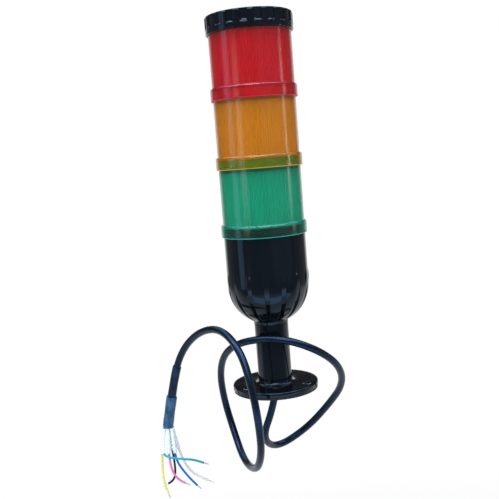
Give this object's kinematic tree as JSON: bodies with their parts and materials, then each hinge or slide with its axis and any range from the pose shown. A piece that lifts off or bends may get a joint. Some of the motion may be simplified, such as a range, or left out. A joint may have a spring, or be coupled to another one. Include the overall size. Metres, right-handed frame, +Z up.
{
  "type": "stack light",
  "caption": "Signal tower light on a flanged pole: red, amber and green ribbed lenses that lock by a bayonet twist over a bowl-bottomed housing with sound slots, and a pre-wired cable.",
  "frame": {"origin": "centre of the three-screw circle on the mounting face under the gasket", "axes": "+Z up along the pole; -Y is the front; +X is to the right seen from the front"},
  "size_m": [0.1433, 0.0819, 0.3534],
  "materials": {
    "black_plastic": "injection-moulded black ABS, glossy",
    "rubber": "moulded black EPDM rubber",
    "seal_silicone": "moulded natural silicone rubber, milky",
    "locknut_plastic": "moulded black nylon",
    "board_green": "green solder mask",
    "board_white": "white solder mask",
    "led_body": "white LED package with a yellow phosphor window",
    "screw_steel": "zinc-plated steel",
    "terminal_plastic": "green nylon",
    "buzzer_plastic": "black plastic can",
    "mast_plastic": "white moulded plastic",
    "tie_nylon": "natural nylon",
    "lens_green": "tinted translucent polycarbonate, ribbed inside",
    "lens_amber": "tinted translucent polycarbonate, ribbed inside",
    "lens_red": "tinted translucent polycarbonate, ribbed inside",
    "cable_sheath": "black PVC sheath with a soft sheen",
    "shrink_sleeve": "heat-shrink sleeve, blue-black",
    "marker_plastic": "white PVC, bare",
    "tinned_copper": "tinned copper strands",
    "lead_teal": "PVC insulation",
    "lead_pink": "PVC insulation",
    "lead_blue": "PVC insulation",
    "lead_yellow": "PVC insulation",
    "lead_black": "PVC insulation",
    "lead_white": "PVC insulation"
  },
  "bodies": {
    "base": {"board_screws": "screw_steel", "buzzer": "buzzer_plastic", "cable": "cable_sheath", "cable_grommet": "rubber", "cable_in_pole": "cable_sheath", "cable_tie": "tie_nylon", "control_board": "board_green", "divider_amber": "mast_plastic", "divider_green": "mast_plastic", "divider_red": "mast_plastic", "flange_gasket": "rubber", "lead_black": "lead_black", "lead_blue": "lead_blue", "lead_pink": "lead_pink", "lead_teal": "lead_teal", "lead_white": "lead_white", "lead_yellow": "lead_yellow", "led_mast": "mast_plastic", "led_strips_amber": "board_white", "led_strips_green": "board_white", "led_strips_red": "board_white", "leds_amber": "led_body", "leds_green": "led_body", "leds_red": "led_body", "lower_housing": "black_plastic", "marker_sleeves": "marker_plastic", "mast_screws": "screw_steel", "mounting_pole": "black_plastic", "pole_locknut": "locknut_plastic", "seal_green": "seal_silicone", "sleeve_thin": "shrink_sleeve", "sleeve_wide": "shrink_sleeve", "terminal_block": "terminal_plastic", "tinned_ends": "tinned_copper"},
    "green_module": {"lens_green": "lens_green", "seal_amber": "seal_silicone"},
    "amber_module": {"lens_amber": "lens_amber", "seal_red": "seal_silicone"},
    "red_module": {"lens_red": "lens_red", "seal_cap": "seal_silicone"},
    "cap": {"top_cap": "black_plastic"}
  },
  "joints": [
    {"name": "green_twist", "type": "hinge", "parent": "base", "child": "green_module", "pos_m": [0, 0, 0.1], "axis": [0, 0, 1], "range_deg": [0, 27]},
    {"name": "amber_twist", "type": "hinge", "parent": "green_module", "child": "amber_module", "pos_m": [0, 0, 0.1], "axis": [0, 0, 1], "range_deg": [0, 27]},
    {"name": "red_twist", "type": "hinge", "parent": "amber_module", "child": "red_module", "pos_m": [0, 0, 0.1], "axis": [0, 0, 1], "range_deg": [0, 27]},
    {"name": "cap_twist", "type": "hinge", "parent": "red_module", "child": "cap", "pos_m": [0, 0, 0.1], "axis": [0, 0, 1], "range_deg": [0, 27]}
  ]
}
